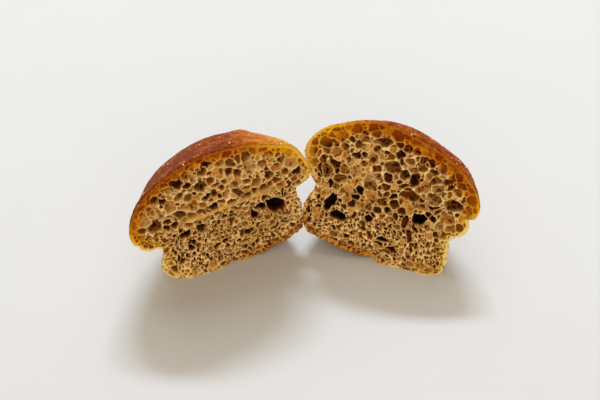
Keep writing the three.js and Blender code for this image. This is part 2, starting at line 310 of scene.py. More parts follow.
# %% [markdown]
# ## Where a point lies on the face
# Nearly everything from here on depends on the place: how far a point is from the outline, whether
# it is beside the browned dome, in the folded foot or at the end towards the other half, and on
# which side of the seam that parts coarse crumb from fine. Vertex groups could be painted for
# this, but small functions are easier to correct. Each answers with a distance, or with a share
# from 0 to 1, for many points at once.

# %% Measuring
CHUNK = 4000
LAYERS = {"walls": 20, "pressed": 30, "seam": 40, "ring": 50, "patches": 60, "pockets": 70, "rough": 80,
          "grain": 90}


def smooth(low, high, value):
    """0 up to the low value, 1 from the high one, and a soft step between them."""
    t = np.clip((value - low) / (high - low), 0, 1)
    return t * t * (3 - 2 * t)


def noise_field(half, points, size, layer):
    """Smooth noise from -1 to 1 over the face, with waves of about that size in mm."""
    slice_at = LAYERS[layer] + half["seed"]
    return np.array([noise.noise(Vector((x / size, z / size, slice_at))) for x, z in points])


def outline_inset(half, points):
    """Distance in mm from each point of the face to the outline, and the outline's direction there."""
    a = half["outline"]
    d = np.roll(a, -1, axis=0) - a
    size = np.maximum((d ** 2).sum(1), NEAR_ZERO)
    best = np.zeros(len(points))
    angle = np.zeros(len(points))
    for start in range(0, len(points), CHUNK):
        p = points[start:start + CHUNK]
        along = np.clip(((p[:, None] - a) * d).sum(2) / size, 0, 1)
        gap = np.linalg.norm(a + along[..., None] * d - p[:, None], axis=2)
        k = gap.argmin(1)
        best[start:start + CHUNK] = gap[np.arange(len(p)), k]
        angle[start:start + CHUNK] = np.arctan2(d[k, 1], d[k, 0])
    return best, angle


def inside(half, points):
    """Which points lie inside the outline, by counting crossings."""
    a = half["outline"]
    b = np.roll(a, -1, axis=0)
    p = points[:, None]
    spans = (a[:, 1] > p[..., 1]) != (b[:, 1] > p[..., 1])
    rise = np.where(a[:, 1] == b[:, 1], NEAR_ZERO, b[:, 1] - a[:, 1])
    cross = a[:, 0] + (b[:, 0] - a[:, 0]) * (p[..., 1] - a[:, 1]) / rise
    return (spans & (p[..., 0] < cross)).sum(1) % 2 == 1


for half in (LEFT, RIGHT):
    half["points"] = half["co"][half["on_face"]][:, (0, 2)]
    half["inset"], half["tangent"] = outline_inset(half, half["points"])
    print(half["name"], "face goes", round(half["inset"].max(), 1), "mm in from its outline")

# %% Regions
LEFT["seam"] = ((9.6, 37.0), (51.2, 30.0))
RIGHT["seam"] = ((6.9, 30.0), (62.0, 22.0))
SEAM_SOFTNESS = 5.0
DOME_FROM = (20, 42)
INNER_DOME_HIGHER = 12
INNER_DOME_END = (20, 0)
INNER_END = (8, 22)
OUTER_END = (44, 58)
FOOT_TOP = (12, 22)
BASE_HEIGHT = (3, 10)
BASE_END = (46, 60)


def dome_share(half, points):
    """1 beside the crust of the dome, 0 beside the pale foot."""
    higher = INNER_DOME_HIGHER * smooth(*INNER_DOME_END, half["side"] * points[:, 0])
    return smooth(*DOME_FROM, points[:, 1] - higher)


def inner_share(half, points):
    """1 on the side towards the other half, 0 on the outer side."""
    return 1 - smooth(*INNER_END, half["side"] * points[:, 0])


def outer_foot(half, points):
    """1 in the folded foot at the outer end, 0 elsewhere."""
    return smooth(*OUTER_END, half["side"] * points[:, 0]) * (1 - smooth(*FOOT_TOP, points[:, 1]))


def seam_height(half, reach):
    """Height of the seam at that reach."""
    (u0, v0), (u1, v1) = half["seam"]
    return v0 + (v1 - v0) * (reach - u0) / (u1 - u0)


def coarseness(half, points):
    """1 in the coarse crumb above the seam, 0 in the fine crumb below it."""
    line = seam_height(half, half["side"] * points[:, 0])
    return smooth(-SEAM_SOFTNESS, SEAM_SOFTNESS, points[:, 1] - line)


def underside(half, across, height):
    """1 along the underside, 0 above it and under the outer end."""
    reach = half["side"] * across
    line = np.interp(reach, *zip(*half["inner"][2::-1]))
    return (1 - smooth(*BASE_HEIGHT, height - line)) * (1 - smooth(*BASE_END, reach))


for half in (LEFT, RIGHT):
    print(half["name"], "has", round(100 * coarseness(half, half["points"]).mean()), "% coarse crumb")

# %% [markdown]
# ## Filling the crumb with cells
# Small bubbles fill the room between the holes. A Voronoi texture would draw them all of about
# one size, so darts are thrown instead, from large to small, and each cell that has room is kept.
# Cells next to the crust flatten along it, those of the fine crumb lie with the dough, and in the
# folded foot they draw out into upright streaks. Noise lets patches of larger cells into the fine
# crumb, which would look sieved otherwise.

# %% Cell sizes
COARSE_RANGE = (0.6, 2.6)
FINE_RANGE = (0.34, 0.95)
PATCH_GROWTH = 0.9
PATCH_SIZE = 6.0
PATCH_FROM = (-0.1, 0.4)
LEFT["edge_cells"], RIGHT["edge_cells"] = 0.55, 1.0
EDGE_GROWTH = 0.36


def size_limits(half, darts, inset, coarse):
    """The smallest and the largest radius in mm that a cell may have at each dart."""
    least = FINE_RANGE[0] + (COARSE_RANGE[0] - FINE_RANGE[0]) * coarse
    patch = smooth(*PATCH_FROM, noise_field(half, darts, PATCH_SIZE, "patches"))
    fine_most = FINE_RANGE[1] + PATCH_GROWTH * patch
    most = fine_most + (COARSE_RANGE[1] - fine_most) * coarse
    return least, np.minimum(most, half["edge_cells"] + EDGE_GROWTH * inset)


for half in (LEFT, RIGHT):
    coarse = coarseness(half, half["points"])
    least, most = size_limits(half, half["points"], half["inset"], coarse)
    print(half["name"], "cells from", round(least.min(), 2), "to", round(most.max(), 2), "mm in radius")

# %% Cell shapes
CRUST_BAND = 6
CRUST_STRETCH = (1.75, -0.1)
CRUST_SWING = 0.2
FOLD_FROM = 46
FOLD_TOP = 17
FOLD_STRETCH = (1.9, 0.4)
FOLD_TURN = (0.15, 0.3)
FINE_BELOW = 0.4
FINE_STRETCH = (1.7, 0.35)
FINE_TURN = (0.55, 0.45)
COARSE_STRETCH = (1.35, 0.3)
# How dark the painted shade in a cell is, and how deep the cell is.
DARK_MIDDLE = 0.34
DARK_SPREAD = 0.26
DARK_TAIL = 0.22
PALEST_CELL = 0.14
SMALL_DARKER = 0.22
SMALL_RADIUS = (1.3, 0.5)
FINE_PALER = 0.02
DEEP_MIDDLE = 1.1
DEEP_SPREAD = 0.4
FINE_DEEPER = 0.7
DARK_DEEPER = 0.6
DEEPER_FROM = 0.5


def drawn_out(half, dart, inset, tangent, coarse, draw):
    """How far the cell at a dart is drawn out, and its turn in radians."""
    side = half["side"]
    if inset < CRUST_BAND:
        return CRUST_STRETCH[0] + CRUST_STRETCH[1] * inset, tangent + CRUST_SWING * draw[1]
    if side * dart[0] > FOLD_FROM and dart[1] < FOLD_TOP:
        upright = math.pi / 2 + side * FOLD_TURN[0]
        return FOLD_STRETCH[0] + FOLD_STRETCH[1] * draw[0], upright + FOLD_TURN[1] * draw[1]
    if coarse < FINE_BELOW:
        return FINE_STRETCH[0] + FINE_STRETCH[1] * draw[0], -side * FINE_TURN[0] + FINE_TURN[1] * draw[1]
    return COARSE_STRETCH[0] + COARSE_STRETCH[1] * draw[0], math.pi * draw[1]


def deep_and_dark(radius, coarse, draw):
    """Depth in mm and painted shade of a cell: the small ones of the fine crumb are deep for their size.
    """
    dark = max(DARK_MIDDLE + DARK_SPREAD * draw[2] + DARK_TAIL * draw[2] ** 3, PALEST_CELL)
    dark += (SMALL_DARKER * smooth(*SMALL_RADIUS, radius) - FINE_PALER) * (1 - coarse)
    steep = DEEP_MIDDLE + DEEP_SPREAD * draw[3] + FINE_DEEPER * (1 - coarse)
    return radius * (steep + DARK_DEEPER * max(dark - DEEPER_FROM, 0)), dark


print("the palest cell has a darkness of", PALEST_CELL)

# %% Darts
DART_RADII = (2.5, 2.1, 1.75, 1.45, 1.2, 1.0, 0.82, 0.66, 0.52, 0.42, 0.35)
DART_TRIES = (500, 700, 1000, 1500, 2000, 2200, 3000, 4600, 5600, 6000, 6000)
MOST_CELLS = 4000
ROOM = 0.93
LEFT["skin"], RIGHT["skin"], FOOT_SKIN = 1.3, 0.7, 0.8
SKIN_SHARE = 0.8


def cell_values(points, cells):
    """Signed distance in mm of each point to each cell's ellipse, negative inside."""
    dx = points[:, None, 0] - cells[:, 0]
    dy = points[:, None, 1] - cells[:, 1]
    c, s = np.cos(cells[:, 4]), np.sin(cells[:, 4])
    rho = np.sqrt(((dx * c + dy * s) / cells[:, 2]) ** 2 + ((dy * c - dx * s) / cells[:, 3]) ** 2)
    return (rho - 1) * np.sqrt(cells[:, 2] * cells[:, 3])


def lay_cells(half):
    """Rows of centre, two half-widths, turn, depth and painted shade: the holes first, then the darts."""
    rng = np.random.default_rng(half["seed"])
    cells = np.zeros((MOST_CELLS, 7))
    count = len(half["holes"])
    cells[:count] = hole_rows(half)
    low, high = half["outline"].min(0), half["outline"].max(0)
    for radius, tries in zip(DART_RADII, DART_TRIES):
        darts = rng.uniform(low, high, (tries, 2))
        darts = darts[inside(half, darts)]
        inset, tangent = outline_inset(half, darts)
        coarse = coarseness(half, darts)
        least, most = size_limits(half, darts, inset, coarse)
        skin = FOOT_SKIN + (half["skin"] - FOOT_SKIN) * dome_share(half, darts)
        fits = (radius >= least) & (radius <= most) & (inset > SKIN_SHARE * radius + skin)
        draws = rng.uniform(-1, 1, (len(darts), 4))
        for k in np.flatnonzero(fits):
            if cell_values(darts[k:k + 1], cells[:count]).min() < ROOM * radius:
                continue
            stretch, turn = drawn_out(half, darts[k], inset[k], tangent[k], coarse[k], draws[k])
            deep, dark = deep_and_dark(radius, coarse[k], draws[k])
            cells[count] = (*darts[k], radius * stretch ** 0.5, radius / stretch ** 0.5, turn, deep, dark)
            count += 1
    return cells[:count]


for half in (LEFT, RIGHT):
    half["cells"] = lay_cells(half)
    print(half["name"], "has", len(half["cells"]), "cells")

# %% [markdown]
# ## Walls between the cells
# Between two bubbles a thin wall of dough is left. Cutting each bubble out with a Boolean would be
# slow and would leave torn faces, so the face is treated as a field of depths. Every point finds
# its own cell and the next one. Where the two are about as far, a wall is left standing; further
# in, the point sinks along a round bowl. The cells are blown up a little first, so that they press
# against each other and their walls turn thin and angular, as in real dough. Some walls are sunk,
# so that neighbouring cells run together, and a little wandering keeps the rest from being
# straight.

# %% Nearest cells
WANDER = ((0.9, 5.0), (0.55, 2.2), (0.26, 0.9))
STRIP = 2500
STRIP_REACH = 8.0


def wandered(points, seed):
    """The points moved a little by several sizes of noise."""
    moved = points.copy()
    for amount, size in WANDER:
        push = [noise.noise_vector(Vector((x / size, z / size, seed))) for x, z in points]
        moved += amount * np.array(push)[:, :2]
    return moved


def strips(points, cells):
    """The points in level strips, each with the cells that lie near enough to matter."""
    order = np.argsort(points[:, 1])
    for start in range(0, len(order), STRIP):
        part = order[start:start + STRIP]
        low, high = points[part[0], 1] - STRIP_REACH, points[part[-1], 1] + STRIP_REACH
        yield part, np.flatnonzero((cells[:, 1] > low) & (cells[:, 1] < high))


def nearest_two(points, cells):
    """Each point's own cell and the next one, and its signed distance in mm to both."""
    own, other = np.zeros((2, len(points)), int)
    first, second = np.zeros((2, len(points)))
    for part, near in strips(points, cells):
        value = cell_values(points[part], cells[near])
        two = np.argpartition(value, 1, axis=1)[:, :2]
        pair = np.take_along_axis(value, two, axis=1)
        two = np.take_along_axis(two, pair.argsort(1), axis=1)
        own[part], other[part] = near[two].T
        first[part], second[part] = np.sort(pair, axis=1).T
    return own, other, first, second


for half in (LEFT, RIGHT):
    half["moved"] = wandered(half["points"], half["seed"])
    step = np.linalg.norm(half["moved"] - half["points"], axis=1)
    print(half["name"], "points wander by", round(step.mean(), 2), "mm on average")

# %% Open cells
WALL = 0.26
WALL_VARIES = 0.24
WALL_WAVES = 3.0
LEAST_WALL = 0.1
COARSE_BLOW = 1.34
FINE_BLOW = (0.86, 1.26)
FINE_BLOW_WAVES = 6.0
FINE_BLOW_FROM = (-0.5, 0.5)
HOLE_BLOW = 1.08
SUNK_WALLS = (0.4, 0.9)
SUNK_MOST = 0.92
SUNK_EDGE = 0.4
PAIR_HASH = (12.99, 78.23, 437.58)
BOWL_REACH = 0.8
# The painted shade fills a cell from its middle out towards its walls.
DARK_REACH = 0.55
DARK_REACH_LESS = 0.4
DARK_POWER = 1.3
TONE_FROM = (0, 0.4)


def round_in(edge, reach):
    """0 on a wall, rising along a quarter circle to 1 that far inside the cell."""
    return np.sqrt(1 - (1 - np.clip(edge / reach, 0, 1)) ** 2)


def blown_up(half):
    """The cells pressed against each other: by much in the coarse crumb, unevenly in the fine."""
    cells = half["cells"].copy()
    patch = smooth(*FINE_BLOW_FROM, noise_field(half, cells[:, :2], FINE_BLOW_WAVES, "pressed"))
    fine = FINE_BLOW[0] + (FINE_BLOW[1] - FINE_BLOW[0]) * patch
    blow = fine + (COARSE_BLOW - fine) * coarseness(half, cells[:, :2])
    blow[:len(half["holes"])] = HOLE_BLOW
    cells[:, 2:4] *= blow[:, None]
    return cells


def pair_chance(own, other):
    """A number from 0 to 1 that belongs to the wall between two cells, the same from both sides."""
    a, b, c = PAIR_HASH
    return np.abs(np.sin(a * np.minimum(own, other) + b * np.maximum(own, other)) * c) % 1


def open_cells(half):
    """Depth in mm, painted shade and tone of the cells that the cut has opened."""
    cells = blown_up(half)
    varies = WALL_VARIES * noise_field(half, half["points"], WALL_WAVES, "walls")
    wall = np.maximum(WALL + varies, LEAST_WALL)
    own, other, first, second = nearest_two(half["moved"], cells)
    size = np.sqrt(cells[own, 2] * cells[own, 3])
    edge = np.minimum(-first, (second - first - wall) / 2)
    bowl = round_in(edge, BOWL_REACH * size)
    sunk = SUNK_MOST * smooth(*SUNK_WALLS, pair_chance(own, other)) * (1 - smooth(0, SUNK_EDGE, first))
    top = sunk * np.minimum(cells[own, 5], cells[other, 5])
    depth = top + (cells[own, 5] - top) * bowl
    dark_reach = DARK_REACH - DARK_REACH_LESS * cells[own, 6] ** 3
    dark = cells[own, 6] * round_in(edge, dark_reach * size) ** DARK_POWER
    tones = np.random.default_rng(half["seed"] + 1).uniform(-1, 1, len(cells))
    return depth, dark, tones[own] * smooth(*TONE_FROM, bowl)


for half in (LEFT, RIGHT):
    half["opened"], half["cell_dark"], half["tone"] = open_cells(half)
    print(half["name"], "cells are", round(half["opened"].mean(), 2), "mm deep on average")

# %% [markdown]
# ## What lies behind the cells
# A bubble in real bread opens into others behind it. Modelling these as hollows would need a far
# heavier mesh, so a second layer of smaller cells, on a jittered grid, shows through the floors of
# the first, with painted shade in them. Broad shallow pockets and a fine grain keep the face from
# looking flat.

# %% Behind
BEHIND_SPACING = 2.3
BEHIND_RADIUS = (0.3, 0.62)
BEHIND_STRETCH = (1.0, 1.35)
BEHIND_DEPTH = 1.5
BEHIND_DARK = 0.36
BEHIND_WALL = 0.13
BEHIND_BOWL = 0.5
BEHIND_FROM = (0.35, 1.3)
POCKET_DEPTH = 1.0
POCKET_SIZE = 7.0
POCKET_FROM = (-0.1, 0.6)
POCKET_INSET = (1.5, 6)
GRAIN_DEPTH = 0.2
GRAIN_SIZE = 0.7


def cells_behind(half):
    """Rows for the second layer of cells, as for the first."""
    rng = np.random.default_rng(half["seed"] + 3)
    low, high = half["outline"].min(0), half["outline"].max(0)
    across, up = (np.arange(low[k], high[k], BEHIND_SPACING) for k in (0, 1))
    place = np.stack(np.meshgrid(across, up), axis=-1).reshape(-1, 2)
    count = len(place)
    place = place + rng.uniform(-0.5, 0.5, (count, 2)) * BEHIND_SPACING
    radius = BEHIND_SPACING * rng.uniform(*BEHIND_RADIUS, count)
    stretch = rng.uniform(*BEHIND_STRETCH, count)
    share = rng.uniform(0, 1, count)
    turn = rng.uniform(0, math.pi, count)
    return np.column_stack([place, radius * stretch, radius / stretch, turn, BEHIND_DEPTH * share,
                            BEHIND_DARK * share])


def seen_behind(half):
    """How much deeper in mm the second layer makes each point, and how much painted shade it adds."""
    behind = half["behind"]
    own, _, first, second = nearest_two(half["moved"], behind)
    web = round_in((second - first) / 2 - BEHIND_WALL, BEHIND_BOWL) * smooth(*BEHIND_FROM, half["opened"])
    return behind[own, 5] * web, behind[own, 6] * web


def unevenness(half, skin):
    """Depth in mm of the broad pockets and the fine grain, which fade towards the outline."""
    points = half["points"]
    pocket = POCKET_DEPTH * smooth(*POCKET_FROM, noise_field(half, points, POCKET_SIZE, "pockets"))
    grain = GRAIN_DEPTH * noise_field(half, points, GRAIN_SIZE, "grain")
    return pocket * smooth(*POCKET_INSET, half["inset"]) + grain * skin


for half in (LEFT, RIGHT):
    half["behind"] = cells_behind(half)
    print(half["name"], "has", len(half["behind"]), "cells behind")

# %% [markdown]
# ## Seam, ring and raw edges
# A dense seam crosses the left face and fills the cells it meets. Along the outline the knife went
# through the crust: an amber ring, wide beside the dome, thin at the raw inner end, and browned
# along the underside. The ring could be a separate strip of mesh, but crust passes into crumb
# without a border, so it is a share that falls off with the distance from the outline. Along the
# raw edges noise breaks the colour into light and dark patches; the dark ones are partly torn
# crust and partly painted shade, where the halves touch and along the underside.

# %% Seam
LEFT["seam_strength"], RIGHT["seam_strength"] = 1.0, 0.0
SEAM_BAND = 1.4
SEAM_EDGE = (0.6, 1.3)
SEAM_WAVES = (0.5, 9)
SEAM_START = (-2, 3)
SEAM_STOP = (-2, 4)


def seam_band(half, points):
    """1 along the dense seam that crosses the face, 0 away from it."""
    (start, _), (stop, _) = half["seam"]
    reach = half["side"] * points[:, 0]
    waves, size = SEAM_WAVES
    line = seam_height(half, reach) + waves * noise_field(half, points, size, "seam")
    band = 1 - smooth(*(share * SEAM_BAND for share in SEAM_EDGE), np.abs(points[:, 1] - line))
    begun = smooth(*(start + step for step in SEAM_START), reach)
    ended = smooth(*(stop + step for step in SEAM_STOP), reach)
    return half["seam_strength"] * band * begun * (1 - ended)


for half in (LEFT, RIGHT):
    half["band"] = seam_band(half, half["points"])
    print(half["name"], "seam covers", round(100 * half["band"].mean(), 1), "% of the face")

# %% Ring
LEFT["ring"], RIGHT["ring"] = 8.6, 10.0
FOOT_RING = 8.0
INNER_RING = 0.9
BASE_RING = 3.6
RING_FROM = (0.1, 1)
RING_WANDER = 0.9
RING_WAVES = 2.5
RING_STEADY = 2
LEFT["carved_from"], RIGHT["carved_from"], FOOT_CARVED_FROM = (0.5, 2.0), (0.3, 1.2), (0.0, 0.9)
# How dark the ragged edge gets: partly torn crust, partly painted shade.
RAW_EDGE_SHADE = 0.5
RAW_INSET = (0.3, 1.6)
ROUGH_SIZE = 1.5
ROUGH_FROM = (-0.25, 0.25)


def ring_share(half, points, inset, dome, base):
    """1 at the cut crust, falling to 0 at the inner end of the ring."""
    foot = FOOT_RING + (INNER_RING - FOOT_RING) * inner_share(half, points)
    width = foot + (half["ring"] - foot) * dome
    width += (BASE_RING - width) * base
    wander = RING_WANDER * noise_field(half, points, RING_WAVES, "ring") / (width + RING_STEADY)
    return 1 - smooth(*RING_FROM, inset / width + wander)


def carved_share(half, inset, dome):
    """0 in the skin, which stays whole, 1 where the crumb is carved in full."""
    foot, rim = FOOT_CARVED_FROM, half["carved_from"]
    low, high = (foot[k] + (rim[k] - foot[k]) * dome for k in (0, 1))
    return smooth(low, high, inset)


def ragged_edge_shade(half, points, inset):
    """Ragged dark patches just inside the outline: partly torn crust, partly painted shade."""
    rough = smooth(*ROUGH_FROM, noise_field(half, points, ROUGH_SIZE, "rough"))
    return RAW_EDGE_SHADE * rough * (1 - smooth(*RAW_INSET, inset))


for half in (LEFT, RIGHT):
    print(half["name"], "has an amber ring", half["ring"], "mm wide beside the dome")

# %% [markdown]
# ## Carving the face
# Now the parts come together at every point of the face: a depth, which will move the mesh, and
# shares of painted shade and ring, which will colour it. Working both out from the same cells keeps
# shape and colour in step. Depth is held back near the outline, so that no cell breaks through
# the crust.

# %% Carving
# These shift the stored darkness, mostly painted shade, in fine crumb, outer foot, ring and base.
LEFT["fine_dark"], RIGHT["fine_dark"] = 0.04, 0.02
LEFT["fine_gain"], RIGHT["fine_gain"] = 1.16, 0.9
LEFT["foot_dark"], RIGHT["foot_dark"] = -0.13, 0.03
LEFT["ring_dark"], RIGHT["ring_dark"] = 0.06, 0.02
BASE_DARK = 0.18
BASE_INSET = (1, 4)
BROWN_BASE = (30, 42)
RAW_RING = 0.4
RAW_BASE = 0.8
SEAM_FILL = 0.85
SEAM_SMOOTH = 0.7
SEAM_PALE = 0.8
SEAM_DARK = 0.1
EDGE_DEPTH = 0.2
EDGE_SLOPE = 0.62


def carve(half):
    """Depth in mm, painted shade and ring share of the crumb at each point of the face."""
    points, inset, band = half["points"], half["inset"], half["band"]
    reach = half["side"] * points[:, 0]
    fine, dome = 1 - coarseness(half, points), dome_share(half, points)
    base = underside(half, points[:, 0], points[:, 1])
    skin = carved_share(half, inset, dome)

    deeper, darker = seen_behind(half)
    uneven = unevenness(half, skin) * (1 - SEAM_SMOOTH * band)
    depth = (half["opened"] + deeper) * skin * (1 - SEAM_FILL * band) + uneven
    depth = np.minimum(depth, EDGE_DEPTH + EDGE_SLOPE * inset)

    added = darker + half["fine_dark"] * fine + half["foot_dark"] * outer_foot(half, points)
    dark = (half["cell_dark"] + added) * (1 + (half["fine_gain"] - 1) * fine)
    dark = np.clip(dark, 0, 1) * skin * (1 - SEAM_PALE * band) + SEAM_DARK * band
    ring = ring_share(half, points, inset, dome, base)
    raw = np.maximum(inner_share(half, points) * (1 - dome), RAW_BASE * base)
    dark = np.maximum(dark, raw * ragged_edge_shade(half, points, inset))
    dark += BASE_DARK * base * (1 - smooth(*BASE_INSET, inset)) * (1 - smooth(*BROWN_BASE, reach))
    dark += half["ring_dark"] * ring * dome
    ring *= 1 - (1 - RAW_RING) * raw
    return depth, dark, ring


for half in (LEFT, RIGHT):
    half["depth"], half["dark"], half["ring_share"] = carve(half)
    print(half["name"], "deepest hole", round(half["depth"].max(), 1), "mm")

# %% [markdown]
# ## How baked it is
# Heat colours a roll from the top: the dome is brick brown and paler towards the end where the
# halves meet, the underside is browned too, and the folded foot stays pale. Low on the inner side,
# where the halves touch, the crust is browner, partly baked and partly painted shade. This could be
# painted onto the mesh, but the pattern is simple enough to be worked out from the place. One
# number from 0 to 1 says how baked a point is, and both the skin and the cut ring take their colour
# from it, so they always agree.

# %% Baking
# The right half's crust browns less than the left: partly baked less, partly a painted sheen.
LEFT["browns"], RIGHT["browns"] = (16, 44), (22, 54)
LEFT["brownest"], RIGHT["brownest"] = 1.0, 0.89
LEFT["underside"], RIGHT["underside"] = 0.68, 0.6
PALE_END = (-4, 34)
PALEST_END = 0.15
# Low on the inner side, where the halves touch, the crust is browner: partly baked, partly painted shade.
INNER_BROWN_AND_SHADE = 0.5
INNER_BROWN_AND_SHADE_TOP = (30, 40)


def baked(half, co):
    """How baked the crust is at each point: 0 pale, 1 brick brown."""
    reach, height = half["side"] * co[:, 0], co[:, 2]
    along = smooth(*PALE_END, reach) * (1 - PALEST_END) + PALEST_END
    up = half["brownest"] * smooth(*half["browns"], height)
    below = half["underside"] * underside(half, co[:, 0], height) ** 2
    below *= 1 - smooth(*BROWN_BASE, reach)
    inner = INNER_BROWN_AND_SHADE * inner_share(half, co) * (1 - smooth(*INNER_BROWN_AND_SHADE_TOP, height))
    return np.maximum(np.maximum(along * up, below), inner)


for half in (LEFT, RIGHT):
    half["baked"] = baked(half, half["co"])
    print(half["name"], "is baked", round(half["baked"].mean(), 2), "on average")

# %% [markdown]
# ## Relief of the crust
# The skin is never smooth. It has low waves on the dome, lumps and creases where the dough folded
# at the foot, grooves and swellings under the rim, and a few broad bumps. All this could be left
# to bump in the material, but then the outline would stay smooth. So each is a distance along the
# normal, and they add up before any point is moved. The lumps fade out at the floor, where the
# roll rests flat.

# %% Grooves and bumps
# A groove has its height, width and depth, and a bump its reach, depth behind the face, size and height.
LEFT["grooves"] = [(22.6, 0.8, 0.9), (13.0, 0.9, 0.9), (7.2, 0.8, 0.9), (10.0, 2.0, -0.4),
                   (3.5, 2.2, -0.6)]
RIGHT["grooves"] = [(28.9, 1.1, 2.2), (24.5, 2.4, -0.9), (19.7, 1.2, 1.6), (9.8, 0.9, 0.9),
                    (3.6, 0.8, 0.9), (6.6, 2.0, -0.5), (14.0, 3.0, -0.5)]
GROOVE_REACH = (56, 64)
LEFT["bumps"] = [(18.6, 24.0, 4.4, 1.5), (70.0, 9.0, 12.0, -1.5), (50.0, 22.0, 18.0, -2.1)]
RIGHT["bumps"] = [(38.0, 7.0, 12.0, 0.9), (68.0, 8.0, 6.0, 1.0)]
BUMP_FROM = (0, 6)


def groove_depth(half, co):
    """Depth in mm of the level grooves round the outer end, negative for a swelling."""
    total = 0
    for height, width, deep in half["grooves"]:
        total = total + deep * np.exp(-((co[:, 2] - height) / width) ** 2)
    return total * smooth(*GROOVE_REACH, half["side"] * co[:, 0])


def bump_height(half, co):
    """Height in mm of the broad bumps behind the face, negative for a hollow."""
    reach, back = half["side"] * co[:, 0], co[:, 1]
    total = 0
    for across, behind, size, tall in half["bumps"]:
        spread = ((reach - across) ** 2 + (back - behind) ** 2) / size ** 2
        total = total + tall * np.exp(-spread) * smooth(*BUMP_FROM, back)
    return total


for half in (LEFT, RIGHT):
    print(half["name"], "deepest groove", round(groove_depth(half, half["co"]).max(), 1), "mm")

# %% Relief
FOOT_LUMP = 0.95
DOME_LUMP = 0.22
FINE_LUMP = 0.3
INNER_LUMP = 0.35
LUMP_NOISE = ((0.7, 5.0), (0.4, 2.2))
FINE_NOISE = 1.2
LUMPY_FOOT_TOP = (14, 28)
INNER_FOOT_HIGHER = 14
FLOOR_FADE = 2.5


def floor_height(half, co):
    """Height above the floor in mm of points in the frame of the cut face."""
    lean = math.radians(half["lean"])
    return co[:, 2] * math.cos(lean) - co[:, 1] * math.sin(lean)


def skin_relief(half, co):
    """How far the crust stands out in mm."""
    (big, big_size), (small, small_size) = LUMP_NOISE
    lump = np.array([big * noise.noise(Vector(p) / big_size) + small * noise.noise(Vector(p) / small_size)
                     for p in co])
    fine = np.array([noise.noise(Vector(p) / FINE_NOISE) for p in co])
    inner = inner_share(half, co)
    foot = 1 - smooth(*LUMPY_FOOT_TOP, co[:, 2] - INNER_FOOT_HIGHER * inner)
    lump = lump * (DOME_LUMP + (FOOT_LUMP - DOME_LUMP) * foot) + fine * FINE_LUMP * foot
    lump += INNER_LUMP * fine * foot * inner
    fade = smooth(0, FLOOR_FADE, floor_height(half, co))
    return lump * fade - groove_depth(half, co) + bump_height(half, co)


for half in (LEFT, RIGHT):
    half["relief"] = skin_relief(half, half["co"])
    low, high = half["relief"].min(), half["relief"].max()
    print(half["name"], "relief from", round(low, 1), "to", round(high, 1), "mm")

# %% [markdown]
# ## The lower front edge
# Seen from the front, the lower edge of each face is not straight: it flares out in places, tucks
# under in others, and is finely scalloped. More points on the outline wouldn't give this, because
# the edge moves along the floor. So a list says how far it is drawn back at each reach, and the
# shift dies away upwards and backwards.

# %% Lower edge
LEFT["tuck"] = [(14, 0), (18.4, -0.5), (24, -0.4), (29.7, -0.9), (33, -0.6), (35.4, -0.2), (38, -1.8),
                (41, -2.7), (46.7, -3.2), (52.4, -3.4), (58, -2.9), (62, -2.0), (64, -0.5), (66, 1.5),
                (67.5, 3.0)]
RIGHT["tuck"] = [(6, 0), (10.9, -1.4), (16.6, -0.5), (22.2, 0.1), (27.9, 1.3), (31.5, 2.2), (33.5, 3.8),
                 (36.5, 1.8), (39.2, 0.6), (44.9, 0.1), (50.5, 0), (56.2, -0.5), (59, -1.2),
                 (61.8, -0.4), (64.7, 1.0), (67.5, 3.0)]
TUCK_REACH = 9.0
SCALLOP = 0.9
SCALLOP_SIZE = 3.2
SCALLOP_MIDDLE = 0.5
SCALLOP_START = (4, 14)
SCALLOP_STOP = (62, 66)


def tuck_under(half, co):
    """How far each point is drawn back along the floor, in mm."""
    reach = half["side"] * co[:, 0]
    drawn = np.interp(reach, *zip(*half["tuck"]))
    waves = np.array([noise.noise(Vector((r / SCALLOP_SIZE, half["seed"], 0))) for r in reach])
    where = smooth(*SCALLOP_START, reach) * (1 - smooth(*SCALLOP_STOP, reach))
    drawn = drawn + SCALLOP * (SCALLOP_MIDDLE + waves) * where
    low = 1 - smooth(0, TUCK_REACH, floor_height(half, co))
    return drawn * low * (1 - smooth(0, TUCK_REACH, co[:, 1]))


for half in (LEFT, RIGHT):
    half["tucked"] = tuck_under(half, half["co"])
    print(half["name"], "edge moves up to", round(np.abs(half["tucked"]).max(), 1), "mm")

# %% [markdown]
# ## Moving the points
# Every distance worked out so far now moves the mesh at once: relief along the normal, the lower
# edge along the floor, and the crumb's depth straight into the face. A stack of Displace modifiers
# could do it too, but each would follow normals that the last one had bent. What would sink below
# the floor is lifted back onto it, and the shares are stored as attributes for the materials.

# %% Shaping
RIM_BLEND = 5


def outward_ways(half):
    """The way out of the roll at each point: the normal, but on the cut face straight to its outline."""
    normals = np.empty(len(half["co"]) * 3, np.float32)
    half["mesh"].vertices.foreach_get("normal", normals)
    outward = normals.reshape(-1, 3).astype(float)
    across, up = np.sin(half["tangent"]), -np.cos(half["tangent"])
    outward[half["on_face"]] = half["side"] * np.column_stack([across, np.zeros(len(across)), up])
    return outward


def shape_mesh(half):
    """Moves the points of a half."""
    mesh, co, on_face = half["mesh"], half["co"], half["on_face"]
    rise = half["relief"].copy()
    rise[on_face] *= 1 - smooth(0, RIM_BLEND, half["inset"])
    moved = co + outward_ways(half) * rise[:, None]
    lean = math.radians(half["lean"])
    moved += half["tucked"][:, None] * np.array([0, math.cos(lean), math.sin(lean)])
    moved[on_face, 1] += half["depth"]
    moved[:, 2] += np.maximum(-floor_height(half, moved), 0) / math.cos(lean)
    mesh.vertices.foreach_set("co", (moved * MM).astype(np.float32).ravel())
    print(half["name"], "moved by up to", round(np.linalg.norm(moved - co, axis=1).max(), 1), "mm")


